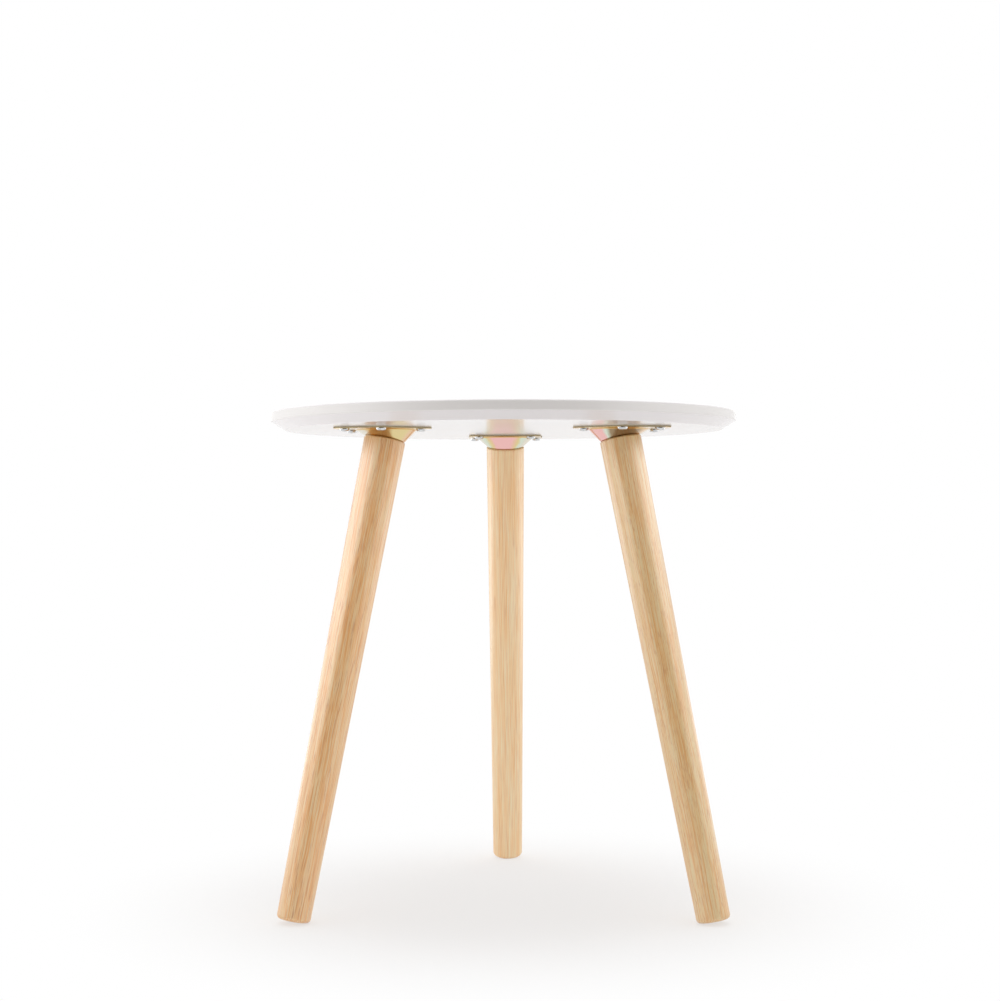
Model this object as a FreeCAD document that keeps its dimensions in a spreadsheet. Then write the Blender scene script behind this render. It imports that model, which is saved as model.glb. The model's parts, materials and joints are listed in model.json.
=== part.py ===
import FreeCAD, Part
import math
import os
import types

import Sketcher

# Small round side table: a bevelled lacquered top on three splayed, tapered wooden legs.
# Each leg ends in a threaded stud that screws into a pressed steel plate under the top.
# Frame: +Z up, origin on the floor under the middle of the top, +Y towards the back leg.

# Driving dimensions, in millimetres and degrees. Each one is a cell of the sheet.
DRIVING_SIZES = {
    # Top: a straight edge band above a wide bevel that makes the rim look thin
    "table_height": 453,
    "top_diameter": 432,
    "edge_band": 8.5,
    "bevel_height": 7.5,
    "bevel_inset": 12.5,
    "top_edge_round": 1.2,
    "bevel_edge_round": 0.8,
    # Legs: turned to a straight taper, both ends cut square to the leg's own axis
    "first_leg_azimuth": 90,
    "leg_splay": 12,
    "leg_top_diameter": 37.5,
    "leg_foot_diameter": 30,
    "leg_top_round": 1.6,
    "leg_foot_round": 3.5,
    # Hanger bolts: a metric stud above the leg, a wood thread with a point inside it
    "bolt_diameter": 8,
    "bolt_chamfer": 0.8,
    "bolt_thread_depth": 0.5,
    "bolt_wood_length": 38,
    "bolt_point_length": 7,
    "bolt_point_diameter": 2,
    "stud_reach": 1.5,
    # Nuts fixed inside the plates
    "nut_wall": 2.5,
    "nut_height": 5.5,
    "nut_chamfer": 0.9,
    # Leg plates: sheet steel with a slanted cup, the seat of the leg, pressed into it
    "plate_sheet": 1.5,
    "plate_edge_gap": 31,
    "plate_headroom": 1.35,
    "seat_inset": 1.15,
    "seat_round": 1.8,
    "cup_flare": 10.7,
    "cup_offset": 1,
    "cup_wall_draw": 0.55,
    "cup_bend_round": 2.4,
    "heel_hole_angle": 131.4,
    "heel_hole_gap": 1.2,
    "heel_rim": 5,
    "shoulder_hole_angle": 57.8,
    "shoulder_hole_gap": 3.8,
    "shoulder_rim": 1.5,
    "nose_hole_gap": 8.2,
    "nose_rim": 5.5,
    # Pan-head wood screws that hold each plate to the top
    "screw_head_diameter": 9,
    "screw_head_height": 2.5,
    "screw_head_round": 2.3,
    "screw_diameter": 4,
    "screw_point_length": 3.5,
    "screw_point_diameter": 0.8,
    "screw_cover": 5.5,
    # Fits
    "running_clearance": 0.05,
    "hole_clearance": 0.4,
}

LEG_NAMES = ("back", "left", "right")
FULL_TURN = 360
# How closely an edge has to follow a circle to be taken for it, as a share of the circle's radius
MATCH_SHARE = 0.001


class Size:
    """A size held twice: as a number, and as the sheet expression that keeps a feature bound to it."""

    def __init__(self, value, text):
        self.value = value
        self.text = text

    def __add__(self, other):
        return Size(self.value + other.value, f"({self.text} + {other.text})")

    def __sub__(self, other):
        return Size(self.value - other.value, f"({self.text} - {other.text})")

    def __mul__(self, other):
        return Size(self.value * other.value, f"({self.text} * {other.text})")

    def __truediv__(self, other):
        return Size(self.value / other.value, f"({self.text} / {other.text})")

    def __neg__(self):
        return Size(-self.value, f"(-{self.text})")

    @property
    def half(self):
        return Size(self.value / 2, f"({self.text} / 2)")


def sine(angle):
    return Size(math.sin(math.radians(angle.value)), f"sin({angle.text})")


def cosine(angle):
    return Size(math.cos(math.radians(angle.value)), f"cos({angle.text})")


def tangent(angle):
    return Size(math.tan(math.radians(angle.value)), f"tan({angle.text})")


ZERO = Size(0, "0")
UP = FreeCAD.Vector(0, 0, 1)

doc = FreeCAD.newDocument("side_table")
sheet = doc.addObject("Spreadsheet::Sheet", "sizes")
for row, (alias, number) in enumerate(DRIVING_SIZES.items(), 1):
    sheet.set(f"A{row}", alias)
    sheet.set(f"B{row}", str(number))
    sheet.setAlias(f"B{row}", alias)
doc.recompute()
size = types.SimpleNamespace(
    **{alias: Size(number, f"sizes.{alias}") for alias, number in DRIVING_SIZES.items()}
)

# Sizes that follow from the driving ones
top_radius = size.top_diameter.half
top_thickness = size.edge_band + size.bevel_height
underside = size.table_height - top_thickness

bolt_radius = size.bolt_diameter.half
bolt_wood_radius = bolt_radius - size.bolt_thread_depth
stud_length = size.plate_sheet + size.nut_height + size.stud_reach
seat_depth = (
    stud_length * cosine(size.leg_splay)
    + bolt_radius * sine(size.leg_splay)
    + size.plate_headroom
)
seat_shift = seat_depth * tangent(size.leg_splay)

leg_top_radius = size.leg_top_diameter.half
leg_foot_radius = size.leg_foot_diameter.half
foot_height = (
    (leg_foot_radius - size.leg_foot_round) * sine(size.leg_splay)
    + size.leg_foot_round
    - size.leg_foot_round * cosine(size.leg_splay)
)
leg_length = (underside - seat_depth - foot_height) / cosine(size.leg_splay)

seat_radius = leg_top_radius - size.seat_inset
cup_radius = seat_radius + size.cup_flare
screw_head_radius = size.screw_head_diameter.half
screw_radius = size.screw_diameter.half
screw_bite = top_thickness - size.screw_cover
screw_length = size.plate_sheet + screw_bite


def hole_place(gap, angle):
    """Where a screw hole lies on the flange, from its gap to the cup and its angle off the nose."""
    reach = cup_radius + screw_head_radius + gap
    return size.cup_offset + reach * cosine(angle), reach * sine(angle)


nose_x = size.cup_offset + cup_radius + screw_head_radius + size.nose_hole_gap
shoulder_x, shoulder_y = hole_place(size.shoulder_hole_gap, size.shoulder_hole_angle)
heel_x, heel_y = hole_place(size.heel_hole_gap, size.heel_hole_angle)
nose_round = screw_head_radius + size.nose_rim
shoulder_round = screw_head_radius + size.shoulder_rim
heel_round = screw_head_radius + size.heel_rim
# The five holes of a flange in turn, with the round of the corner about each
FLANGE_CORNERS = (
    (nose_x, ZERO, nose_round),
    (shoulder_x, shoulder_y, shoulder_round),
    (heel_x, heel_y, heel_round),
    (heel_x, -heel_y, heel_round),
    (shoulder_x, -shoulder_y, shoulder_round),
)
SCREW_PLACES = tuple((x, y) for x, y, _ in FLANGE_CORNERS)

leg_circle = top_radius - size.bevel_inset - size.plate_edge_gap - nose_x - nose_round
seat_circle = leg_circle + seat_shift


def azimuth_of(index):
    """The direction of a leg, counted evenly round from the first."""
    turn = FULL_TURN * index / len(LEG_NAMES)
    return Size(DRIVING_SIZES["first_leg_azimuth"] + turn, f"(sizes.first_leg_azimuth + {turn})")


def place_at(part, azimuth, radius, height, lean):
    """Bind a part's place to a direction and radius about the table's axis, a height and an inward lean."""
    part.setExpression(
        "Placement",
        f"placement(vector({(radius * cosine(azimuth)).text}; {(radius * sine(azimuth)).text};"
        f" {height.text}); rotation({azimuth.text}; {(-lean).text}; 0))",
    )


def place_plate(part, index):
    place_at(part, azimuth_of(index), leg_circle, underside, ZERO)


def place_on_seat(part, index):
    place_at(part, azimuth_of(index), seat_circle, underside - seat_depth, size.leg_splay)


def new_body(label):
    body = doc.addObject("PartDesign::Body", label)
    body.Label = label
    return body


def new_sketch(body, name, role):
    """A sketch on one of the body's own origin planes."""
    sketch = body.newObject("Sketcher::SketchObject", name)
    plane = next(item for item in body.Origin.OriginFeatures if item.Role == role)
    sketch.AttachmentSupport = (plane, [""])
    sketch.MapMode = "FlatFace"
    return sketch


def fix(sketch, kind, *where, to):
    """Add a dimension to a sketch and bind it to a size."""
    number = sketch.addConstraint(Sketcher.Constraint(kind, *where, to.value))
    sketch.setExpression(f"Constraints[{number}]", to.text)


def fix_point(sketch, geometry, point, x, y):
    fix(sketch, "DistanceX", -1, 1, geometry, point, to=x)
    fix(sketch, "DistanceY", -1, 1, geometry, point, to=y)


def vector(x, y):
    return FreeCAD.Vector(x.value, y.value, 0)


def draw_polygon(sketch, corners):
    """A closed outline of straight lines through corners given as sizes."""
    points = [vector(x, y) for x, y in corners]
    following = points[1:] + points[:1]
    first = len(sketch.Geometry)
    for start, end in zip(points, following):
        sketch.addGeometry(Part.LineSegment(start, end))
    for index, (x, y) in enumerate(corners):
        after = (index + 1) % len(corners)
        sketch.addConstraint(Sketcher.Constraint("Coincident", first + index, 2, first + after, 1))
        fix_point(sketch, first + index, 1, x, y)


def draw_circles(sketch, places, radius):
    for x, y in places:
        circle = sketch.addGeometry(Part.Circle(vector(x, y), UP, radius.value))
        fix(sketch, "Radius", circle, to=radius)
        fix_point(sketch, circle, 3, x, y)


def outward(corner, following):
    """The outward unit normal of the line that touches two corner circles, taken counter-clockwise."""
    step = vector(*following[:2]) - vector(*corner[:2])
    lean = (corner[2].value - following[2].value) / step.Length
    step.normalize()
    side = step.cross(UP)
    return step * lean + side * math.sqrt(1 - lean * lean)


def draw_rounded_outline(sketch, corners):
    """A closed outline of arcs about the corners, joined by lines that run tangent to them."""
    count = len(corners)
    normals = [outward(corners[i], corners[(i + 1) % count]) for i in range(count)]
    arcs = []
    lines = []
    for index, (x, y, radius) in enumerate(corners):
        ring = Part.Circle(vector(x, y), UP, radius.value)
        start = math.atan2(normals[index - 1].y, normals[index - 1].x)
        end = math.atan2(normals[index].y, normals[index].x)
        arcs.append(sketch.addGeometry(Part.ArcOfCircle(ring, start, end)))
    for index in range(count):
        x, y, radius = corners[index]
        next_x, next_y, next_radius = corners[(index + 1) % count]
        start = vector(x, y) + normals[index] * radius.value
        end = vector(next_x, next_y) + normals[index] * next_radius.value
        lines.append(sketch.addGeometry(Part.LineSegment(start, end)))
    for index in range(count):
        following = arcs[(index + 1) % count]
        sketch.addConstraint(Sketcher.Constraint("Tangent", arcs[index], 2, lines[index], 1))
        sketch.addConstraint(Sketcher.Constraint("Tangent", lines[index], 2, following, 1))
    for arc, (x, y, radius) in zip(arcs, corners):
        fix(sketch, "Radius", arc, to=radius)
        fix_point(sketch, arc, 3, x, y)


def revolve(body, sketch, name):
    turned = body.newObject("PartDesign::Revolution", name)
    turned.Profile = sketch
    turned.ReferenceAxis = (sketch, ["V_Axis"])
    turned.Angle = FULL_TURN
    return turned


def pad(body, sketch, name, length, reverse=False):
    raised = body.newObject("PartDesign::Pad", name)
    raised.Profile = sketch
    raised.Reversed = reverse
    raised.setExpression("Length", length.text)
    return raised


def pocket(body, sketch, name, depth=None, reverse=False):
    """Cut a sketch into the body, right through where no depth is given, and see that it did cut."""
    doc.recompute()
    before = body.Shape.Volume
    cut = body.newObject("PartDesign::Pocket", name)
    cut.Profile = sketch
    cut.Reversed = reverse
    if depth is None:
        cut.Type = "ThroughAll"
    else:
        cut.setExpression("Length", depth.text)
    doc.recompute()
    if cut.Shape.Volume >= before:
        raise RuntimeError(f"{name} cuts nothing from {body.Label}")
    return cut


def lies_on_circle(edge, centre, axis, radius):
    """Whether an edge runs along a circle, whatever kind of curve it is stored as."""
    first, last = edge.ParameterRange
    near = radius.value * MATCH_SHARE
    for point in (edge.valueAt(first), edge.valueAt((first + last) / 2), edge.valueAt(last)):
        arm = point - centre
        if abs(arm.Length - radius.value) > near or abs(arm.dot(axis)) > near:
            return False
    return True


def round_circle(body, name, base, radius, height, edge_round, centre_x=ZERO):
    """Fillet the edge of a feature that runs along a level circle."""
    centre = FreeCAD.Vector(centre_x.value, 0, height.value)
    return round_edge(body, name, base, centre, UP, radius, edge_round)


def round_edge(body, name, base, centre, axis, radius, edge_round):
    doc.recompute()
    edges = enumerate(base.Shape.Edges, 1)
    chosen = [f"Edge{n}" for n, edge in edges if lies_on_circle(edge, centre, axis, radius)]
    fillet = body.newObject("PartDesign::Fillet", name)
    fillet.Base = (base, chosen)
    fillet.setExpression("Radius", edge_round.text)
    return fillet


def make_table_top():
    """The round top, with a pilot hole for every plate screw."""
    body = new_body("table_top")
    profile = new_sketch(body, "top_profile", "XZ_Plane")
    bevel_foot = top_radius - size.bevel_inset
    draw_polygon(
        profile,
        (
            (ZERO, ZERO),
            (bevel_foot, ZERO),
            (top_radius, size.bevel_height),
            (top_radius, top_thickness),
            (ZERO, top_thickness),
        ),
    )
    disc = revolve(body, profile, "top_disc")
    rim = round_circle(body, "top_rim", disc, top_radius, top_thickness, size.top_edge_round)
    arris = round_circle(body, "band_arris", rim, top_radius, size.bevel_height, size.bevel_edge_round)
    round_circle(body, "bevel_arris", arris, bevel_foot, ZERO, size.bevel_edge_round)

    pilots = new_sketch(body, "pilot_places", "XY_Plane")
    places = [(leg_circle + x, y) for x, y in SCREW_PLACES]
    draw_circles(pilots, places, screw_radius + size.running_clearance)
    holes = pocket(body, pilots, "pilot_holes", screw_bite + size.running_clearance, reverse=True)
    rounds = body.newObject("PartDesign::PolarPattern", "pilot_rounds")
    rounds.Originals = [holes]
    rounds.Axis = (pilots, ["N_Axis"])
    rounds.Angle = FULL_TURN
    rounds.Occurrences = len(LEG_NAMES)
    body.Tip = rounds
    place_at(body, size.first_leg_azimuth, ZERO, underside, ZERO)
    return body


def tilt_to_seat(sketch, rise):
    """Move a sketch from the flange plane to the leg's seat, raised along the leg's axis."""
    sketch.AttachmentOffset = FreeCAD.Placement(
        FreeCAD.Vector(), FreeCAD.Rotation(FreeCAD.Vector(0, -1, 0), size.leg_splay.value)
    )
    along = seat_shift - rise * sine(size.leg_splay)
    below = -seat_depth + rise * cosine(size.leg_splay)
    sketch.setExpression("AttachmentOffset.Base.x", along.text)
    sketch.setExpression("AttachmentOffset.Base.z", below.text)
    sketch.setExpression("AttachmentOffset.Rotation.Angle", size.leg_splay.text)


def make_cup(body, name, kind, rim_drop, seat_rise, draw):
    """One side of the pressed cup: from a circle in the flange to the slanted circle of the seat."""
    rim = new_sketch(body, f"{name}_rim", "XY_Plane")
    rim.setExpression("AttachmentOffset.Base.z", (-rim_drop).text)
    draw_circles(rim, [(size.cup_offset, ZERO)], cup_radius - draw)
    seat = new_sketch(body, f"{name}_seat", "XY_Plane")
    tilt_to_seat(seat, seat_rise)
    draw_circles(seat, [(ZERO, ZERO)], seat_radius - draw)
    cup = body.newObject(kind, name)
    cup.Profile = rim
    cup.Sections = [seat]
    cup.Ruled = True
    return cup


def make_leg_plate(index):
    """A pressed plate: a five-cornered flange with a slanted cup, pierced for the stud and the screws."""
    body = new_body(f"leg_plate_{LEG_NAMES[index]}")
    outline = new_sketch(body, "flange_outline", "XY_Plane")
    draw_rounded_outline(outline, FLANGE_CORNERS)
    pad(body, outline, "flange", size.plate_sheet, reverse=True)
    make_cup(body, "cup_outside", "PartDesign::AdditiveLoft", size.plate_sheet, ZERO, ZERO)
    inside = make_cup(
        body, "cup_inside", "PartDesign::SubtractiveLoft", ZERO, size.plate_sheet, size.cup_wall_draw
    )
    bend = round_circle(
        body, "cup_bend", inside, cup_radius, -size.plate_sheet, size.cup_bend_round, size.cup_offset
    )
    seat_middle = FreeCAD.Vector(seat_shift.value, 0, -seat_depth.value)
    leg_axis = FreeCAD.Vector(-sine(size.leg_splay).value, 0, cosine(size.leg_splay).value)
    round_edge(body, "seat_edge", bend, seat_middle, leg_axis, seat_radius, size.seat_round)

    stud_hole = new_sketch(body, "stud_hole_place", "XY_Plane")
    tilt_to_seat(stud_hole, size.plate_sheet)
    draw_circles(stud_hole, [(ZERO, ZERO)], bolt_radius + size.hole_clearance)
    pocket(body, stud_hole, "stud_hole")
    screw_holes = new_sketch(body, "screw_hole_places", "XY_Plane")
    draw_circles(screw_holes, SCREW_PLACES, screw_radius + size.hole_clearance)
    pocket(body, screw_holes, "screw_holes")
    place_plate(body, index)
    return body


def make_plate_nut(index):
    """The hexagon nut fixed on the inner face of a plate's seat."""
    body = new_body(f"plate_nut_{LEG_NAMES[index]}")
    flat_radius = bolt_radius + size.nut_wall
    corner_count = 6
    corner_step = FULL_TURN / corner_count
    half_step = Size(corner_step / 2, str(corner_step / 2))
    corner_radius = flat_radius / cosine(half_step)
    corners = []
    for corner in range(corner_count):
        angle = Size(corner * corner_step, str(corner * corner_step))
        corners.append((corner_radius * cosine(angle), corner_radius * sine(angle)))
    hexagon = new_sketch(body, "nut_hexagon", "XY_Plane")
    hexagon.setExpression("AttachmentOffset.Base.z", size.plate_sheet.text)
    draw_polygon(hexagon, corners)
    draw_circles(hexagon, [(ZERO, ZERO)], bolt_radius + size.running_clearance)
    pad(body, hexagon, "nut_block", size.nut_height)

    doc.recompute()
    before = body.Shape.Volume
    chamfer = new_sketch(body, "nut_chamfer_profile", "XZ_Plane")
    nut_top = size.plate_sheet + size.nut_height
    chamfer_run = corner_radius - flat_radius + size.nut_chamfer
    draw_polygon(
        chamfer,
        (
            (corner_radius - chamfer_run, nut_top),
            (corner_radius + size.nut_chamfer, nut_top),
            (corner_radius + size.nut_chamfer, nut_top - size.nut_chamfer),
        ),
    )
    groove = body.newObject("PartDesign::Groove", "nut_corners")
    groove.Profile = chamfer
    groove.ReferenceAxis = (chamfer, ["V_Axis"])
    groove.Angle = FULL_TURN
    doc.recompute()
    if groove.Shape.Volume >= before:
        raise RuntimeError("the nut's chamfer cuts nothing")
    place_on_seat(body, index)
    return body


def make_hanger_bolt(index):
    """A double-ended bolt: the stud stands out of the leg, the wood thread holds in it."""
    body = new_body(f"hanger_bolt_{LEG_NAMES[index]}")
    profile = new_sketch(body, "bolt_profile", "XZ_Plane")
    draw_polygon(
        profile,
        (
            (ZERO, -size.bolt_wood_length),
            (size.bolt_point_diameter.half, -size.bolt_wood_length),
            (bolt_wood_radius, -size.bolt_wood_length + size.bolt_point_length),
            (bolt_wood_radius, ZERO),
            (bolt_radius, ZERO),
            (bolt_radius, stud_length - size.bolt_chamfer),
            (bolt_radius - size.bolt_chamfer, stud_length),
            (ZERO, stud_length),
        ),
    )
    revolve(body, profile, "bolt_blank")
    place_on_seat(body, index)
    return body


def make_leg(index):
    """A turned leg, bored at the top for its hanger bolt."""
    body = new_body(f"leg_{LEG_NAMES[index]}")
    profile = new_sketch(body, "leg_profile", "XZ_Plane")
    draw_polygon(
        profile,
        ((ZERO, -leg_length), (leg_foot_radius, -leg_length), (leg_top_radius, ZERO), (ZERO, ZERO)),
    )
    turned = revolve(body, profile, "leg_taper")
    foot = round_circle(body, "foot_edge", turned, leg_foot_radius, -leg_length, size.leg_foot_round)
    round_circle(body, "leg_top_edge", foot, leg_top_radius, ZERO, size.leg_top_round)
    bore = new_sketch(body, "bolt_bore_place", "XY_Plane")
    draw_circles(bore, [(ZERO, ZERO)], bolt_wood_radius + size.running_clearance)
    pocket(body, bore, "bolt_bore", size.bolt_wood_length + size.running_clearance)
    place_on_seat(body, index)
    return body


def make_screw():
    """One pan-head wood screw, pointing up, with the underside of its head at its own origin."""
    body = new_body("plate_screw")
    profile = new_sketch(body, "screw_profile", "XZ_Plane")
    draw_polygon(
        profile,
        (
            (ZERO, -size.screw_head_height),
            (screw_head_radius, -size.screw_head_height),
            (screw_head_radius, ZERO),
            (screw_radius, ZERO),
            (screw_radius, screw_length - size.screw_point_length),
            (size.screw_point_diameter.half, screw_length),
            (ZERO, screw_length),
        ),
    )
    blank = revolve(body, profile, "screw_blank")
    round_circle(
        body, "head_dome", blank, screw_head_radius, -size.screw_head_height, size.screw_head_round
    )
    return body


def make_screw_places(screw):
    """The five screws of one plate, in the plate's own frame."""
    links = []
    for number, (x, y) in enumerate(SCREW_PLACES, 1):
        link = doc.addObject("App::Link", f"plate_screw_place_{number}")
        link.LinkedObject = screw
        link.setExpression("Placement.Base.x", x.text)
        link.setExpression("Placement.Base.y", y.text)
        link.setExpression("Placement.Base.z", (-size.plate_sheet).text)
        links.append(link)
    return links


def make_plate_screws(index, places):
    group = doc.addObject("Part::Compound", f"plate_screws_{LEG_NAMES[index]}")
    group.Label = f"plate_screws_{LEG_NAMES[index]}"
    group.Links = places
    place_plate(group, index)
    return group


nodes = [make_table_top()]
screw_places = make_screw_places(make_screw())
for leg_number in range(len(LEG_NAMES)):
    nodes.append(make_leg_plate(leg_number))
    nodes.append(make_plate_screws(leg_number, screw_places))
    nodes.append(make_plate_nut(leg_number))
    nodes.append(make_hanger_bolt(leg_number))
    nodes.append(make_leg(leg_number))
doc.recompute()

for item in doc.Objects:
    if {"Invalid", "Error"} & set(item.State):
        raise RuntimeError(f"{item.Label} failed: {item.State}")
for node in nodes:
    if node.Shape.isNull() or not node.Shape.isValid():
        raise RuntimeError(f"{node.Label} has no valid shape")

os.makedirs("parts", exist_ok=True)
for node in nodes:
    node.Shape.exportStep(f"parts/{node.Label}.step")
    print(node.Label, len(node.Shape.Solids), round(node.Shape.Volume))
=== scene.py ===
import json
import math

import bmesh
import bpy
from mathutils import Matrix, Quaternion, Vector


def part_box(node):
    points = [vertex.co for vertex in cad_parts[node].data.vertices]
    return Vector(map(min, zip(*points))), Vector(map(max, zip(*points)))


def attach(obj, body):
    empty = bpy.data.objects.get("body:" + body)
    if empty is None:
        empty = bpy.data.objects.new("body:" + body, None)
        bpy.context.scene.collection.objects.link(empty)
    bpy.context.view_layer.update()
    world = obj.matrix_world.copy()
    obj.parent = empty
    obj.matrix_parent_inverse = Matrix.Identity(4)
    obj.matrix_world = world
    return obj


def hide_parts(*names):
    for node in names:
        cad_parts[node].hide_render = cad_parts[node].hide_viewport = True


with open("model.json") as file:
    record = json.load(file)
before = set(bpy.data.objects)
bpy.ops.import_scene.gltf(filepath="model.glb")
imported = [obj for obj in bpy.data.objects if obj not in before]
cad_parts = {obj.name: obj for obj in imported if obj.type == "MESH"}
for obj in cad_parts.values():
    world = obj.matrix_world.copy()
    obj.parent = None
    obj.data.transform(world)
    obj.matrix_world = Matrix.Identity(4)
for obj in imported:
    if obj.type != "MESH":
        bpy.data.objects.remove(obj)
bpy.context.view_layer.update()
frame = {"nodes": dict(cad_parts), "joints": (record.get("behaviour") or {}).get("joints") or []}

# Round top: board turned to a disc, with a straight edge band over a wide bevel that makes the rim look
# thin. It is sprayed on all sides with white satin lacquer, which dries with a faint orange peel.
LACQUER_WHITE = (238, 236, 238)
LACQUER_SHADE = (236, 234, 236)
LACQUER_ROUGHNESS = 0.14
LACQUER_IOR = 1.6
CLOUD_SIZE = 0.09
CLOUD_RANGE = (0.35, 0.7)
CLOUD_ROUGHNESS = 0.03
PEEL_SIZE = 0.0035
PEEL_STRENGTH = 0.004
PEEL_DEPTH = 0.0002
# The edge band is sanded and sprayed once more, so it is duller. Its greyer colour is painted shade
BEVEL_HEIGHT = 0.0075
BAND_BLEND = 0.0007
BAND_PAINTED_SHADE = (232, 230, 229)
BAND_ROUGHNESS = 0.2
BAND_COAT = 0.6
BAND_COAT_ROUGHNESS = 0.3
BAND_COAT_IOR = 2.0


class Finish:
    """A socket in a material's node tree. Sums with it add Math nodes, and node() adds any other node."""

    def __init__(self, tree, socket=None):
        self.tree = tree
        self.socket = socket

    def node(self, kind, settings, values, output=0):
        made = self.tree.nodes.new(kind)
        for name, setting in settings.items():
            if name == "stops":
                ramp = made.color_ramp.elements
                while len(ramp) < len(setting):
                    ramp.new(1.0)
                for stop, (place, colour) in zip(ramp, setting):
                    stop.position = place
                    stop.color = colour
            else:
                setattr(made, name, setting)
        for name, value in values.items():
            if isinstance(value, Finish):
                self.tree.links.new(value.socket, made.inputs[name])
            else:
                made.inputs[name].default_value = value
        return Finish(self.tree, made.outputs[output] if made.outputs else None)

    def sum(self, operation, first, second):
        return self.node("ShaderNodeMath", {"operation": operation}, {0: first, 1: second})

    def __add__(self, other):
        return self.sum("ADD", self, other)

    __radd__ = __add__

    def __sub__(self, other):
        return self.sum("SUBTRACT", self, other)

    def __rsub__(self, other):
        return self.sum("SUBTRACT", other, self)

    def __mul__(self, other):
        return self.sum("MULTIPLY", self, other)

    __rmul__ = __mul__

    def __truediv__(self, other):
        return self.sum("DIVIDE", self, other)

    def __pow__(self, other):
        return self.sum("POWER", self, other)

    def parts(self):
        """The x, y and z of this vector."""
        split = self.node("ShaderNodeSeparateXYZ", {}, {"Vector": self})
        return [Finish(self.tree, part) for part in split.socket.node.outputs]

    def between(self, low, high):
        """0 below low, 1 above high and a smooth rise from one to the other."""
        settings = {"interpolation_type": "SMOOTHSTEP"}
        return self.node("ShaderNodeMapRange", settings, {"Value": self, "From Min": low, "From Max": high})

    def mixed(self, first, second):
        """The first colour where this is 0, the second where it is 1."""
        settings = {"data_type": "RGBA"}
        return self.node("ShaderNodeMix", settings, {0: self, 6: first, 7: second}, output=2)

    def noise(self, grain, detail=2.0):
        """Noise over this vector, with blotches of about the given size in each direction."""
        scale = tuple(1 / length for length in grain)
        stretched = self.node("ShaderNodeVectorMath", {"operation": "MULTIPLY"}, {0: self, 1: scale})
        return self.node("ShaderNodeTexNoise", {}, {"Vector": stretched, "Scale": 1.0, "Detail": detail})


def paint(red, green, blue):
    """A colour as it looks on a screen, turned into the light that it stands for."""
    light = []
    for part in (red / 255, green / 255, blue / 255):
        light.append(part / 12.92 if part <= 0.04045 else ((part + 0.055) / 1.055) ** 2.4)
    return (*light, 1.0)


def start_finish(name):
    """A new material, and the object's own coordinates in it."""
    material = bpy.data.materials.new(name)
    material.use_nodes = True
    material.node_tree.nodes.clear()
    place = Finish(material.node_tree).node("ShaderNodeTexCoord", {}, {}, output="Object")
    return material, place


def surface(place, values):
    """Finish a material with one shader that has the given sockets set."""
    shader = place.node("ShaderNodeBsdfPrincipled", {}, values)
    place.node("ShaderNodeOutputMaterial", {}, {"Surface": shader})


def even(size):
    """The same size in each direction."""
    return (size, size, size)


def bumped(height, strength, depth):
    """The surface's direction where it rises and falls with the given height."""
    values = {"Strength": strength, "Distance": depth, "Height": height}
    return height.node("ShaderNodeBump", {}, values)


def dress(node, material):
    """Put a material on a piece of the frame."""
    for slot in frame["nodes"][node].material_slots:
        slot.material = material


def white_lacquer():
    material, place = start_finish("sprayed_white_lacquer")
    clouds = place.noise(even(CLOUD_SIZE), detail=3.0)
    peel = place.noise(even(PEEL_SIZE), detail=1.0)
    height = place.parts()[2]
    low, high = (corner.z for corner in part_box("table_top"))
    foot = low + BEVEL_HEIGHT
    over_bevel = height.between(foot - BAND_BLEND, foot)
    under_face = 1 - height.between(high - 2 * BAND_BLEND, high - BAND_BLEND)
    band = over_bevel * under_face
    faces = clouds.between(*CLOUD_RANGE).mixed(paint(*LACQUER_WHITE), paint(*LACQUER_SHADE))
    surface(
        place,
        {
            # The band is painted a little greyer: painted shade, where the dark room in front gives it less
            # light
            "Base Color": band.mixed(faces, paint(*BAND_PAINTED_SHADE)),
            "Roughness": LACQUER_ROUGHNESS + CLOUD_ROUGHNESS * clouds + BAND_ROUGHNESS * band,
            "Normal": bumped(peel, PEEL_STRENGTH, PEEL_DEPTH),
            "IOR": LACQUER_IOR,
            "Coat Weight": BAND_COAT * band,
            "Coat Roughness": BAND_COAT_ROUGHNESS,
            "Coat IOR": BAND_COAT_IOR,
        },
    )
    return material


dress("table_top", white_lacquer())

# Leg plates: sheet steel, blanked to five corners and pressed to a slanted cup that the leg seats on.
# Zinc plated and dipped yellow: the thin film on the zinc shows bands of straw, gold, pink and pale green.
LEGS = ("back", "left", "right")
FILM_PALE = (221, 215, 198)
FILM_STRAW = (222, 204, 150)
FILM_GOLD = (212, 172, 104)
# Bronze and umber: the film darkened as painted reflection of the shaded leg tops and the dark room in
# front
BRONZE_PAINTED_REFLECTION = (190, 158, 106)
UMBER_PAINTED_REFLECTION = (154, 132, 102)
FILM_PEACH = (228, 194, 158)
FILM_PINK = (236, 187, 183)
FILM_LEAF = (212, 222, 204)
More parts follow.
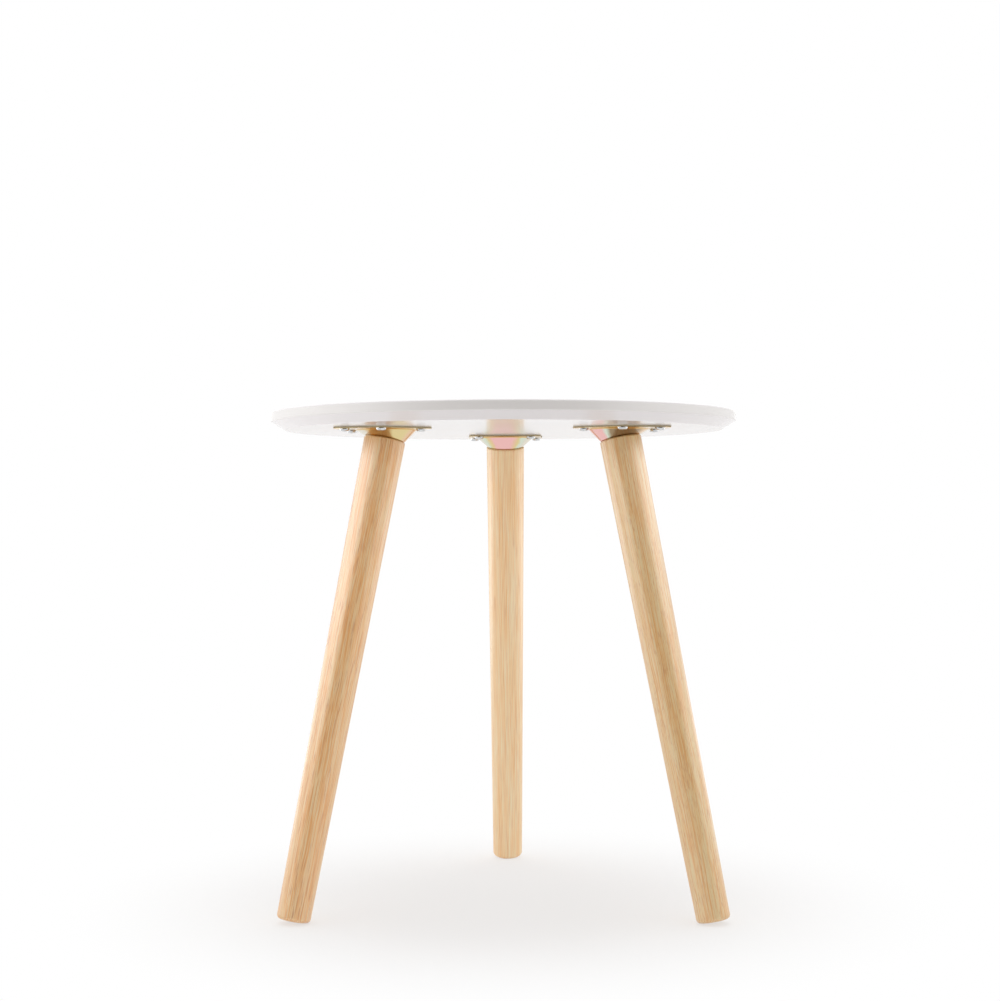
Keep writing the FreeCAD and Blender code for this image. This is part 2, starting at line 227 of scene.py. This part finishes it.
# The film's colours and painted reflections round each cup, in degrees from the side that faces outwards
CUP_COLOUR_BANDS = {
    "back": (
        (-180, FILM_PINK),
        (-162, FILM_PINK),
        (-152, FILM_PEACH),
        (-146, FILM_STRAW),
        (-138, FILM_LEAF),
        (-120, FILM_PALE),
        (0, FILM_STRAW),
        (105, FILM_PALE),
        (126, FILM_LEAF),
        (137, FILM_STRAW),
        (144, FILM_PEACH),
        (150, FILM_PINK),
        (180, FILM_PINK),
    ),
    "left": (
        (-180, FILM_STRAW),
        (-120, FILM_GOLD),
        (-60, FILM_PALE),
        (12, FILM_PALE),
        (28, FILM_GOLD),
        (44, BRONZE_PAINTED_REFLECTION),
        (66, BRONZE_PAINTED_REFLECTION),
        (76, FILM_STRAW),
        (105, FILM_STRAW),
        (122, FILM_PEACH),
        (150, FILM_PEACH),
        (180, FILM_STRAW),
    ),
    "right": (
        (-180, FILM_PINK),
        (-98, FILM_PINK),
        (-90, FILM_LEAF),
        (-80, UMBER_PAINTED_REFLECTION),
        (-20, UMBER_PAINTED_REFLECTION),
        (2, FILM_PEACH),
        (20, FILM_PALE),
        (110, FILM_STRAW),
        (150, FILM_PEACH),
        (180, FILM_PINK),
    ),
}
FLAT_BANDS = ((0.3, FILM_PALE), (0.42, FILM_STRAW), (0.52, FILM_GOLD), (0.6, FILM_PEACH), (0.7, FILM_LEAF))
FILM_BLOTCH = 0.009
BLOTCH_SHIFT = 0.05
BLOTCH_ROUGHNESS = 0.1
ZINC_ROUGHNESS = 0.18
ROLLING_MARK = (0.0004, 0.02, 0.0004)
MARK_ROUGHNESS = 0.04
MARK_STRENGTH = 0.03
MARK_DEPTH = 0.0001
# The cut edge is darker than the film: partly its own dull colour, partly painted shade and dark reflection
CUT_EDGE_AND_SHADE = (180, 167, 136)
CUT_DULLNESS = 0.7
CUT_ROUGHNESS = 0.45
SHEET = 0.0015
# Depths under the top, in thicknesses of the sheet, at which the cut edge, the flat and the bend give way
CUT_END = (0.75, 0.9)
FLAT_END = (1.05, 1.2)
BEND_END = (1.3, 2.0)


def leg_frame(name):
    """The seat of a leg: its middle, the outward and sideways directions, and up along the leg."""
    turn = next(joint for joint in frame["joints"] if joint["name"] == f"leg_{name}_turn")
    up = -Vector(turn["axis"])
    outward = Vector((-up.x, -up.y, 0)).normalized()
    outward = (outward - up * outward.dot(up)).normalized()
    seat = Matrix((outward, up.cross(outward), up)).transposed().to_4x4()
    seat.translation = Vector(turn["pos_m"])
    return seat


def plate_frame(name):
    """The flange of a leg plate: the point of the leg's axis at the underside, x outward and z up."""
    seat = leg_frame(name)
    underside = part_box("table_top")[0].z
    up = seat.col[2].to_3d()
    middle = seat.translation + up * (underside - seat.translation.z) / up.z
    return Matrix.Translation(middle) @ Matrix.Rotation(math.atan2(-up.y, -up.x), 4, "Z")


def local_place(place, piece):
    """The object's coordinates, seen from a piece's own frame."""
    location = tuple(piece.translation)
    turn = tuple(piece.to_euler())
    values = {"Vector": place, "Location": location, "Rotation": turn}
    return place.node("ShaderNodeMapping", {"vector_type": "TEXTURE"}, values)


def colour_ramp(value, bands):
    """The paint colours of the bands, each at its own place along the value."""
    stops = [(at, paint(*colour)) for at, colour in bands]
    return value.node("ShaderNodeValToRGB", {"stops": stops}, {"Fac": value})


def yellow_zinc(name):
    material, place = start_finish(f"yellow_zinc_{name}")
    place = local_place(place, plate_frame(name))
    x, y, z = place.parts()
    blotch = place.noise(even(FILM_BLOTCH), detail=4.0)
    around = x.sum("ARCTAN2", y, x) / math.tau + 0.5 + BLOTCH_SHIFT * (blotch - 0.5)
    # Round the cup: the film's colours, with bronze and umber bands of painted reflection
    cup_colours = colour_ramp(around, [(angle / 360 + 0.5, colour) for angle, colour in CUP_COLOUR_BANDS[name]])
    flat_film = colour_ramp(place.noise(even(FILM_BLOTCH * 2), detail=3.0), FLAT_BANDS)
    below = -1 * z / SHEET
    plate_colours = below.between(*FLAT_END).mixed(flat_film, paint(*FILM_GOLD))
    plate_colours = below.between(*BEND_END).mixed(plate_colours, cup_colours)
    cut = 1 - below.between(*CUT_END)
    marks = place.noise(ROLLING_MARK)
    uneven = BLOTCH_ROUGHNESS * (blotch - 0.5) + MARK_ROUGHNESS * (marks - 0.5)
    surface(
        place,
        {
            # The cut edge's darker colour is partly painted shade and dark reflection
            "Base Color": cut.mixed(plate_colours, paint(*CUT_EDGE_AND_SHADE)),
            "Metallic": 1 - CUT_DULLNESS * cut,
            "Roughness": ZINC_ROUGHNESS + uneven + CUT_ROUGHNESS * cut,
            "Normal": bumped(marks, MARK_STRENGTH, MARK_DEPTH),
        },
    )
    return material


plate_finishes = {leg: yellow_zinc(leg) for leg in LEGS}
for leg in LEGS:
    dress(f"leg_plate_{leg}", plate_finishes[leg])

# Plate nuts: steel nuts fixed inside the cups, which take the studs of the legs. They are zinc plated and
# dipped together with the plates, so they carry the same yellow film.
for leg in LEGS:
    dress(f"plate_nut_{leg}", plate_finishes[leg])

# Plate screws: pan-head wood screws of bright zinc plated steel, five to a plate. The head is cold
# formed with a cross recess, and the rolled thread bites into the pilot holes of the top.
HEAD_RADIUS = 0.0045
HEAD_HEIGHT = 0.0025
HEAD_ROUND = 0.0023
SHANK_LENGTH = 0.012
SHANK_CORE = 0.0014
SHANK_CREST = 0.002
SHANK_POINT = 0.0035
SHANK_TIP = 0.0002
SHANK_TIP_SHARE = 0.25
SCREW_PITCH = 0.0018
SCREW_THREAD_START = 0.001
RECESS_REACH = 0.0019
RECESS_WIDTH = 0.00105
RECESS_DEPTH = 0.0016
RECESS_TAPER = 0.62
ROUND_STEPS = 40
HEAD_STEPS = 7
WELD_GAP = 1e-6
SMOOTH_ANGLE = 35
# The ridge of a thread: where its foot sinks in the core, half its width, its steps and its fading ends
THREAD_FOOT_SHARE = 0.94
THREAD_HALF_SHARE = 0.42
THREAD_STEPS_SHARE = 0.6
RUN_OUT_SHARE = 0.5
RUN_OUT_LEAST = 0.02
ZINC_LIGHT = (222, 223, 224)
ZINC_DARK = (200, 202, 204)
SPANGLE_SIZE = 0.0025
SPANGLE_RANGE = (0.3, 0.7)
SPANGLE_ROUGHNESS = 0.1
BRIGHT_ROUGHNESS = 0.2
SCUFF_SIZE = 0.0006
SCUFF_STRENGTH = 0.05
SCUFF_DEPTH = 0.0001
CUP_OFFSET = 0.001
# Where the screws stand on the flange: distance from the middle of the cup, and angle from the nose
SCREW_PLACES = ((0.041, 0.0), (0.0366, 57.8), (0.034, 131.4), (0.034, -131.4), (0.0366, -57.8))
# Each screw is tight at another turn: radians for a metre of that distance and for a radian of that angle
TURN_PER_REACH = 900
TURN_PER_ANGLE = 3


def turn_profile(shape, points):
    """Spin an outline of radii and heights once round the z axis."""
    verts = [shape.verts.new((radius, 0, height)) for radius, height in points]
    edges = [shape.edges.new(pair) for pair in zip(verts, verts[1:])]
    bmesh.ops.spin(
        shape,
        geom=verts + edges,
        cent=(0, 0, 0),
        axis=(0, 0, 1),
        angle=math.tau,
        steps=ROUND_STEPS,
        use_merge=True,
    )
    bmesh.ops.remove_doubles(shape, verts=shape.verts, dist=WELD_GAP)


def wind_thread(shape, core, crest, pitch, low, high):
    """Wind a ridge with a sharp crest up a core, running out to nothing at both ends."""
    foot = core * THREAD_FOOT_SHARE
    half = pitch * THREAD_HALF_SHARE
    verts = [
        shape.verts.new((foot, 0, low - half)),
        shape.verts.new((crest, 0, low)),
        shape.verts.new((foot, 0, low + half)),
    ]
    edges = [shape.edges.new((verts[i], verts[(i + 1) % 3])) for i in range(3)]
    turns = (high - low) / pitch
    steps = round(turns * ROUND_STEPS * THREAD_STEPS_SHARE)
    bmesh.ops.contextual_create(shape, geom=edges)
    before = set(shape.verts)
    last = bmesh.ops.spin(
        shape,
        geom=verts + edges,
        cent=(0, 0, 0),
        axis=(0, 0, 1),
        dvec=(0, 0, (high - low) / steps),
        angle=math.tau * turns,
        steps=steps,
    )["geom_last"]
    end = [item for item in last if isinstance(item, bmesh.types.BMEdge)]
    bmesh.ops.contextual_create(shape, geom=end)
    ridge = [vert for vert in shape.verts if vert not in before] + verts
    for vert in ridge:
        radius = vert.co.xy.length
        room = min(vert.co.z - low, high - vert.co.z) / (pitch * RUN_OUT_SHARE)
        if radius > core and room < 1:
            wanted = foot + (radius - foot) * max(room, RUN_OUT_LEAST)
            vert.co.xy *= wanted / radius


def cut_recess(shape):
    """Close the open face of the head with a cross recess that narrows towards its bottom."""
    rim = [edge for edge in shape.edges if edge.is_boundary]
    half = RECESS_WIDTH / 2
    corner = ((RECESS_REACH, -half), (RECESS_REACH, half), (half, half))
    cross = []
    for quarter in range(4):
        spun = Matrix.Rotation(math.tau * quarter / 4, 2)
        for point in corner:
            cross.append(shape.verts.new((*(spun @ Vector(point)), -HEAD_HEIGHT)))
    lip = [shape.edges.new((cross[i - 1], cross[i])) for i in range(len(cross))]
    bmesh.ops.triangle_fill(shape, use_beauty=True, edges=rim + lip)
    walls = bmesh.ops.extrude_edge_only(shape, edges=lip)["geom"]
    floor = [item for item in walls if isinstance(item, bmesh.types.BMVert)]
    bmesh.ops.scale(shape, vec=(RECESS_TAPER, RECESS_TAPER, 1), verts=floor)
    bmesh.ops.translate(shape, vec=(0, 0, RECESS_DEPTH), verts=floor)
    bottom = [item for item in walls if isinstance(item, bmesh.types.BMEdge)]
    bmesh.ops.contextual_create(shape, geom=bottom)


def screw_shape():
    """One screw pointing up, with the underside of its head at the origin."""
    shape = bmesh.new()
    points = [
        (0.0, SHANK_LENGTH),
        (SHANK_CORE * SHANK_TIP_SHARE, SHANK_LENGTH - SHANK_TIP),
        (SHANK_CORE, SHANK_LENGTH - SHANK_POINT),
        (SHANK_CORE, 0.0),
        (HEAD_RADIUS, 0.0),
    ]
    for step in range(HEAD_STEPS + 1):
        angle = math.radians(90 * step / HEAD_STEPS)
        radius = HEAD_RADIUS - HEAD_ROUND * (1 - math.cos(angle))
        points.append((radius, -HEAD_HEIGHT + HEAD_ROUND * (1 - math.sin(angle))))
    turn_profile(shape, points)
    cut_recess(shape)
    thread_end = SHANK_LENGTH - SHANK_POINT
    wind_thread(shape, SHANK_CORE, SHANK_CREST, SCREW_PITCH, SCREW_THREAD_START, thread_end)
    return shape


def finish_mesh(shape, name):
    """Turn a shape into a piece with its faces outwards, smooth but for its sharp edges."""
    bmesh.ops.recalc_face_normals(shape, faces=shape.faces)
    for face in shape.faces:
        face.smooth = True
    for edge in shape.edges:
        edge.smooth = edge.calc_face_angle(0.0) < math.radians(SMOOTH_ANGLE)
    mesh = bpy.data.meshes.new(name)
    shape.to_mesh(mesh)
    shape.free()
    piece = bpy.data.objects.new(name, mesh)
    bpy.context.scene.collection.objects.link(piece)
    return piece


def bright_zinc():
    material, place = start_finish("bright_zinc")
    spangle = place.noise(even(SPANGLE_SIZE), detail=3.0)
    scuffs = place.noise(even(SCUFF_SIZE))
    surface(
        place,
        {
            "Base Color": spangle.between(*SPANGLE_RANGE).mixed(paint(*ZINC_LIGHT), paint(*ZINC_DARK)),
            "Metallic": 1.0,
            "Roughness": BRIGHT_ROUGHNESS + SPANGLE_ROUGHNESS * spangle,
            "Normal": bumped(scuffs, SCUFF_STRENGTH, SCUFF_DEPTH),
        },
    )
    return material


bright_steel = bright_zinc()
for leg in LEGS:
    group = bmesh.new()
    for reach, angle in SCREW_PLACES:
        one = screw_shape()
        x = CUP_OFFSET + reach * math.cos(math.radians(angle))
        y = reach * math.sin(math.radians(angle))
        tightened = Matrix.Rotation(reach * TURN_PER_REACH + math.radians(angle) * TURN_PER_ANGLE, 4, "Z")
        stand = plate_frame(leg) @ Matrix.Translation((x, y, -SHEET)) @ tightened
        bmesh.ops.transform(one, matrix=stand, verts=one.verts)
        made = bpy.data.meshes.new("one_screw")
        one.to_mesh(made)
        one.free()
        group.from_mesh(made)
        bpy.data.meshes.remove(made)
    screws = finish_mesh(group, f"pan_head_screws_{leg}")
    screws.data.materials.append(bright_steel)
    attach(screws, "table")
    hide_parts(f"plate_screws_{leg}")

# Hanger bolts: steel rod threaded at both ends. The coarse wood thread is driven into the leg, and the
# metric stud stands out of its top and screws into the nut that is fixed inside the plate's cup.
BOLT_CREST = 0.004
BOLT_CORE = 0.0034
BOLT_PITCH = 0.00125
STUD_LENGTH = 0.0085
STUD_CHAMFER = 0.0008
STUD_TIP = 0.0005
STUD_NECK = 0.0006
WOOD_CREST = 0.0035
WOOD_CORE = 0.0025
WOOD_PITCH = 0.003
WOOD_LENGTH = 0.038
WOOD_POINT = 0.007
WOOD_TIP = 0.001


def bolt_shape():
    """One bolt pointing up, with the top of its leg at the origin."""
    shape = bmesh.new()
    points = (
        (0.0, STUD_LENGTH),
        (BOLT_CREST - STUD_CHAMFER, STUD_LENGTH),
        (BOLT_CORE, STUD_LENGTH - STUD_TIP),
        (BOLT_CORE, 0.0),
        (WOOD_CORE, -STUD_NECK),
        (WOOD_CORE, WOOD_POINT - WOOD_LENGTH),
        (WOOD_TIP, -WOOD_LENGTH),
        (0.0, -WOOD_LENGTH),
    )
    turn_profile(shape, points)
    wind_thread(shape, BOLT_CORE, BOLT_CREST, BOLT_PITCH, BOLT_PITCH, STUD_LENGTH - BOLT_PITCH)
    wind_thread(shape, WOOD_CORE, WOOD_CREST, WOOD_PITCH, WOOD_POINT - WOOD_LENGTH, -WOOD_PITCH)
    return shape


for leg in LEGS:
    bolt_mesh = bolt_shape()
    bmesh.ops.transform(bolt_mesh, matrix=leg_frame(leg), verts=bolt_mesh.verts)
    bolt = finish_mesh(bolt_mesh, f"threaded_bolt_{leg}")
    bolt.data.materials.append(bright_steel)
    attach(bolt, f"bolt_{leg}")
    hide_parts(f"hanger_bolt_{leg}")

# Legs: pale hardwood turned to a straight taper, rounded at the foot and sealed with clear satin lacquer.
# The grain runs along the leg, with faint growth rings, fine fibres and the short dark flecks of the pores.
RING_WIDTH = 0.0042
PITH_OFFSET = 0.06
LATE_RISE = (0.3, 0.9)
LATE_FALL = (0.9, 1.0)
LATE_SHARE = 0.06
# Each leg comes from another plank: its colour, made paler on the back leg as painted light, how far it is
# turned about its own axis, how strong its grain is and how long its pores are
PLANKS_AND_LIGHT = {
    # The back leg's colour is paler: painted light, for it stands nearer the light behind the table
    "back": ((255, 215, 154), 40, 0.9, 0.03),
    "left": ((247, 196, 128), 170, 2.0, 0.018),
    "right": ((237, 194, 127), 285, 1.5, 0.008),
}
# How much of its red, green and blue light the wood keeps where it is palest and where it is darkest
EARLY_WOOD = (1.0, 1.2, 1.55)
LATE_WOOD = (0.94, 0.74, 0.46)
TONE_STOPS = (0.1, 0.5, 0.9)
MEAN_TONE = 0.46
# The grain sways a little along the leg: how long a sway is in each direction, and how far it goes
SWAY_SIZE = (0.02, 0.02, 0.06)
SWAY_SHIFT = (0.0025, 0.002)
# Sizes of the grain, twice across the leg and once along it, and how much each adds to the tone
FIBRE_SIZE = (0.0007, 0.0007, 0.05)
FIBRE_SHARE = 1.7
STREAK_SIZE = (0.0018, 0.0018, 0.09)
STREAK_SHARE = 0.3
STRIPE_SIZE = (0.005, 0.005, 0.15)
STRIPE_SHARE = 0.9
# The pores are darker in some patches of the leg than in others
PORE_LINES = (204, 128, 64)
PORE_WIDTH = 0.0007
PORE_RANGE = (0.53, 0.67)
PORE_SHARE = 0.2
PATCH_SIZE = (0.01, 0.01, 0.05)
PATCH_RANGE = (0.35, 0.65)
PATCH_SHARE = 0.16
WOOD_ROUGHNESS = 0.4
PORE_ROUGHNESS = 0.1
FIBRE_ROUGHNESS = 0.08
GRAIN_STRENGTH = 0.1
GRAIN_DEPTH = 0.0003
PORE_DEPTH_SHARE = 0.5
SEALER_ROUGHNESS = 0.36
SEALER_IOR = 2.3


def tinted(colour, shares):
    """A paint colour with its red, green and blue light made more or less."""
    return (*(min(part * share, 1.0) for part, share in zip(paint(*colour), shares)), 1.0)


def pale_wood(name):
    material, place = start_finish(f"pale_wood_{name}")
    plank_and_light, turn, figure, pore = PLANKS_AND_LIGHT[name]
    turned = leg_frame(name) @ Matrix.Rotation(math.radians(turn), 4, "Z")
    straight = local_place(place, turned)
    sway = straight.noise(SWAY_SIZE) - 0.5
    shift = sway.node("ShaderNodeCombineXYZ", {}, {0: SWAY_SHIFT[0] * sway, 1: SWAY_SHIFT[1] * sway})
    grain = straight.node("ShaderNodeVectorMath", {"operation": "ADD"}, {0: straight, 1: shift})
    x, y = grain.parts()[:2]
    x = x - PITH_OFFSET
    from_pith = (x * x + y * y) ** 0.5
    ring = from_pith / RING_WIDTH
    ring = ring.sum("FRACT", ring, 0.0)
    late = ring.between(*LATE_RISE) * (1 - ring.between(*LATE_FALL))
    fibre = grain.noise(FIBRE_SIZE, detail=1.0)
    streak = grain.noise(STREAK_SIZE, detail=1.0)
    stripe = grain.noise(STRIPE_SIZE)
    patch = grain.noise(PATCH_SIZE).between(*PATCH_RANGE)
    pores = grain.noise((PORE_WIDTH, PORE_WIDTH, pore), detail=1.0).between(*PORE_RANGE)
    fine = figure * (FIBRE_SHARE * (fibre - 0.5) + STREAK_SHARE * (streak - 0.5))
    tone = fine + STRIPE_SHARE * (stripe - 0.5) + LATE_SHARE * late + MEAN_TONE
    # On the back leg the plank colour is made paler: painted light
    colours = (tinted(plank_and_light, EARLY_WOOD), paint(*plank_and_light), tinted(plank_and_light, LATE_WOOD))
    stops = list(zip(TONE_STOPS, colours))
    body = grain.node("ShaderNodeValToRGB", {"stops": stops}, {"Fac": tone})
    lines = figure * pores * (PORE_SHARE + PATCH_SHARE * patch)
    surface(
        place,
        {
            "Base Color": lines.mixed(body, paint(*PORE_LINES)),
            "Roughness": WOOD_ROUGHNESS + PORE_ROUGHNESS * lines + FIBRE_ROUGHNESS * (fibre - 0.5),
            "Normal": bumped(fibre - PORE_DEPTH_SHARE * lines, GRAIN_STRENGTH, GRAIN_DEPTH),
            "Specular IOR Level": 0.0,
            "Coat Weight": 1.0,
            "Coat Roughness": SEALER_ROUGHNESS,
            "Coat IOR": SEALER_IOR,
        },
    )
    return material


for leg in LEGS:
    dress(f"leg_{leg}", pale_wood(leg))

# Studio: a white sweep of floor under soft light from lamps at both sides, behind and above, with the
# room in front of the table left dark. None of it is part of the table.
WHITE = (1, 1, 1, 1)
FLOOR_SPAN = 12.0
FLOOR_WHITE = (243, 243, 244)
CLEAR_FROM = 0.12
CLEAR_BY = 0.42
SHADOW_SHARE = 0.5
ROOM_LIGHT = 0.71
ROOM_TINT = (255, 252, 249)


def ray_kind(place, name):
    """1 for the rays of the named kind."""
    return place.node("ShaderNodeLightPath", {}, {}, output=name)


def mirrored(place):
    """1 for the rays that see the backdrop by way of metal, gloss or glass."""
    return place.sum("MAXIMUM", ray_kind(place, "Is Glossy Ray"), ray_kind(place, "Is Transmission Ray"))


floor_shape = bmesh.new()
bmesh.ops.create_grid(floor_shape, x_segments=1, y_segments=1, size=FLOOR_SPAN / 2)
floor = finish_mesh(floor_shape, "studio_floor")
floor_finish, spot = start_finish("white_floor")
away = spot.node("ShaderNodeVectorMath", {"operation": "LENGTH"}, {0: spot}, output="Value")
clear = 1 - SHADOW_SHARE * (1 - away.between(CLEAR_FROM, CLEAR_BY))
clear = ray_kind(spot, "Is Camera Ray") * clear
clear = spot.sum("MAXIMUM", clear, mirrored(spot))
card = spot.node("ShaderNodeBsdfDiffuse", {}, {"Color": paint(*FLOOR_WHITE)})
glow = spot.node("ShaderNodeEmission", {}, {"Color": WHITE, "Strength": 1.0})
swept = spot.node("ShaderNodeMixShader", {}, {0: clear, 1: card, 2: glow})
open_side = spot.node("ShaderNodeNewGeometry", {}, {}, output="Backfacing")
nothing = spot.node("ShaderNodeBsdfTransparent", {}, {})
one_sided = spot.node("ShaderNodeMixShader", {}, {0: open_side, 1: swept, 2: nothing})
spot.node("ShaderNodeOutputMaterial", {}, {"Surface": one_sided})
floor.data.materials.append(floor_finish)

# The dark side of the room, which fades out to its left and right
FLAG_PLACE = (0, -1.3, 0.24)
FLAG_SOLID = 1.0
FLAG_REACH = 2.2
FLAG_RISE = 0.45
FLAG_GREY = (70, 66, 62)
flag_shape = bmesh.new()
bmesh.ops.create_grid(flag_shape, x_segments=1, y_segments=1, size=1.0)
stand_up = Matrix.Translation(FLAG_PLACE) @ Matrix.Rotation(math.radians(90), 4, "X")
stand_up = stand_up @ Matrix.Diagonal((FLAG_REACH, FLAG_RISE, 1, 1))
bmesh.ops.transform(flag_shape, matrix=stand_up, verts=flag_shape.verts)
flag = finish_mesh(flag_shape, "dark_room_side")
flag_finish, spot = start_finish("dark_room")
across = spot.parts()[0]
faded = across.sum("ABSOLUTE", across, 0.0).between(FLAG_SOLID, FLAG_REACH)
felt = spot.node("ShaderNodeBsdfDiffuse", {}, {"Color": paint(*FLAG_GREY)})
nothing = spot.node("ShaderNodeBsdfTransparent", {}, {})
soft_edged = spot.node("ShaderNodeMixShader", {}, {0: faded, 1: felt, 2: nothing})
spot.node("ShaderNodeOutputMaterial", {}, {"Surface": soft_edged})
flag.data.materials.append(flag_finish)
flag.visible_camera = False
flag.visible_diffuse = False

world = bpy.data.worlds.new("studio")
bpy.context.scene.world = world
world.use_nodes = True
world.node_tree.nodes.clear()
sky = Finish(world.node_tree)
backdrop = sky.node("ShaderNodeBackground", {}, {"Color": WHITE, "Strength": 1.0})
room = sky.node("ShaderNodeBackground", {}, {"Color": paint(*ROOM_TINT), "Strength": ROOM_LIGHT})
looked_at = sky.sum("MAXIMUM", ray_kind(sky, "Is Camera Ray"), mirrored(sky))
lit = sky.node("ShaderNodeMixShader", {}, {0: looked_at, 1: room, 2: backdrop})
sky.node("ShaderNodeOutputWorld", {}, {"Surface": lit})

LAMP_AIM = Vector((0, 0, 0.25))
# The side lamps are shaded off the top, whose faces would mirror them. The top has lamps of its own
# instead, which light its rim.
on_top = bpy.data.collections.new("lit_by_rim_lamps")
off_top = bpy.data.collections.new("shaded_from_side_lamps")
for lit_pieces in (on_top, off_top):
    lit_pieces.objects.link(frame["nodes"]["table_top"])
off_top.collection_objects[0].light_linking.link_state = "EXCLUDE"


def hang_lamp(name, place, width, height, watts, diffuse=True, gloss=True, shade=None):
    """Hang a flat lamp that faces the table. A shade keeps its light to some pieces, or off them."""
    lamp = bpy.data.lights.new(name, "AREA")
    lamp.shape = "RECTANGLE"
    lamp.size = width
    lamp.size_y = height
    lamp.energy = watts
    holder = bpy.data.objects.new(name, lamp)
    bpy.context.scene.collection.objects.link(holder)
    holder.location = place
    holder.rotation_euler = (LAMP_AIM - Vector(place)).to_track_quat("-Z", "Y").to_euler()
    holder.visible_camera = False
    holder.visible_diffuse = diffuse
    holder.visible_glossy = gloss
    holder.light_linking.receiver_collection = shade


hang_lamp("left_lamp", (-1.1, -0.05, 0.63), width=2.5, height=0.54, watts=8.4, diffuse=False, shade=off_top)
hang_lamp("right_lamp", (1.1, 0.15, 0.67), width=2.1, height=0.46, watts=5.0, diffuse=False, shade=off_top)
hang_lamp("low_left_lamp", (-1.1, 0.7, 0.15), width=1.2, height=0.26, watts=1.5, shade=off_top)
hang_lamp("low_right_lamp", (1.1, 0.7, 0.15), width=1.2, height=0.26, watts=1.1, shade=off_top)
hang_lamp("left_rim_lamp", (-1.1, -0.16, 0.44), width=0.8, height=0.2, watts=3.5, gloss=False, shade=on_top)
hang_lamp("right_rim_lamp", (1.1, -0.02, 0.44), width=0.8, height=0.2, watts=2.0, gloss=False, shade=on_top)
hang_lamp("back_lamp", (0.0, 1.4, 0.9), width=1.6, height=1.0, watts=3.5)
hang_lamp("top_lamp", (0.0, 0.1, 2.2), width=1.5, height=1.5, watts=11.0)

# Camera: a little under the height of the top, so that it looks up at the underside and the plates.
IMAGE_WIDTH = 1000
FOCAL_PIXELS = 1853.51
CAMERA_PLACE = (0.02577, -1.73378, 0.3572)
CAMERA_YAW = -0.01683
CAMERA_PITCH = 0.0083
CAMERA_ROLL = -0.003

camera = bpy.data.objects.new("camera", bpy.data.cameras.new("camera"))
bpy.context.scene.collection.objects.link(camera)
camera.data.sensor_fit = "HORIZONTAL"
camera.data.lens = camera.data.sensor_width * FOCAL_PIXELS / IMAGE_WIDTH
aim = Vector(
    (
        math.sin(CAMERA_YAW) * math.cos(CAMERA_PITCH),
        math.cos(CAMERA_YAW) * math.cos(CAMERA_PITCH),
        math.sin(CAMERA_PITCH),
    )
)
camera.location = CAMERA_PLACE
camera.rotation_mode = "QUATERNION"
camera.rotation_quaternion = aim.to_track_quat("-Z", "Y") @ Quaternion((0, 0, 1), CAMERA_ROLL)
bpy.context.scene.camera = camera
bpy.context.scene.view_settings.view_transform = "Standard"
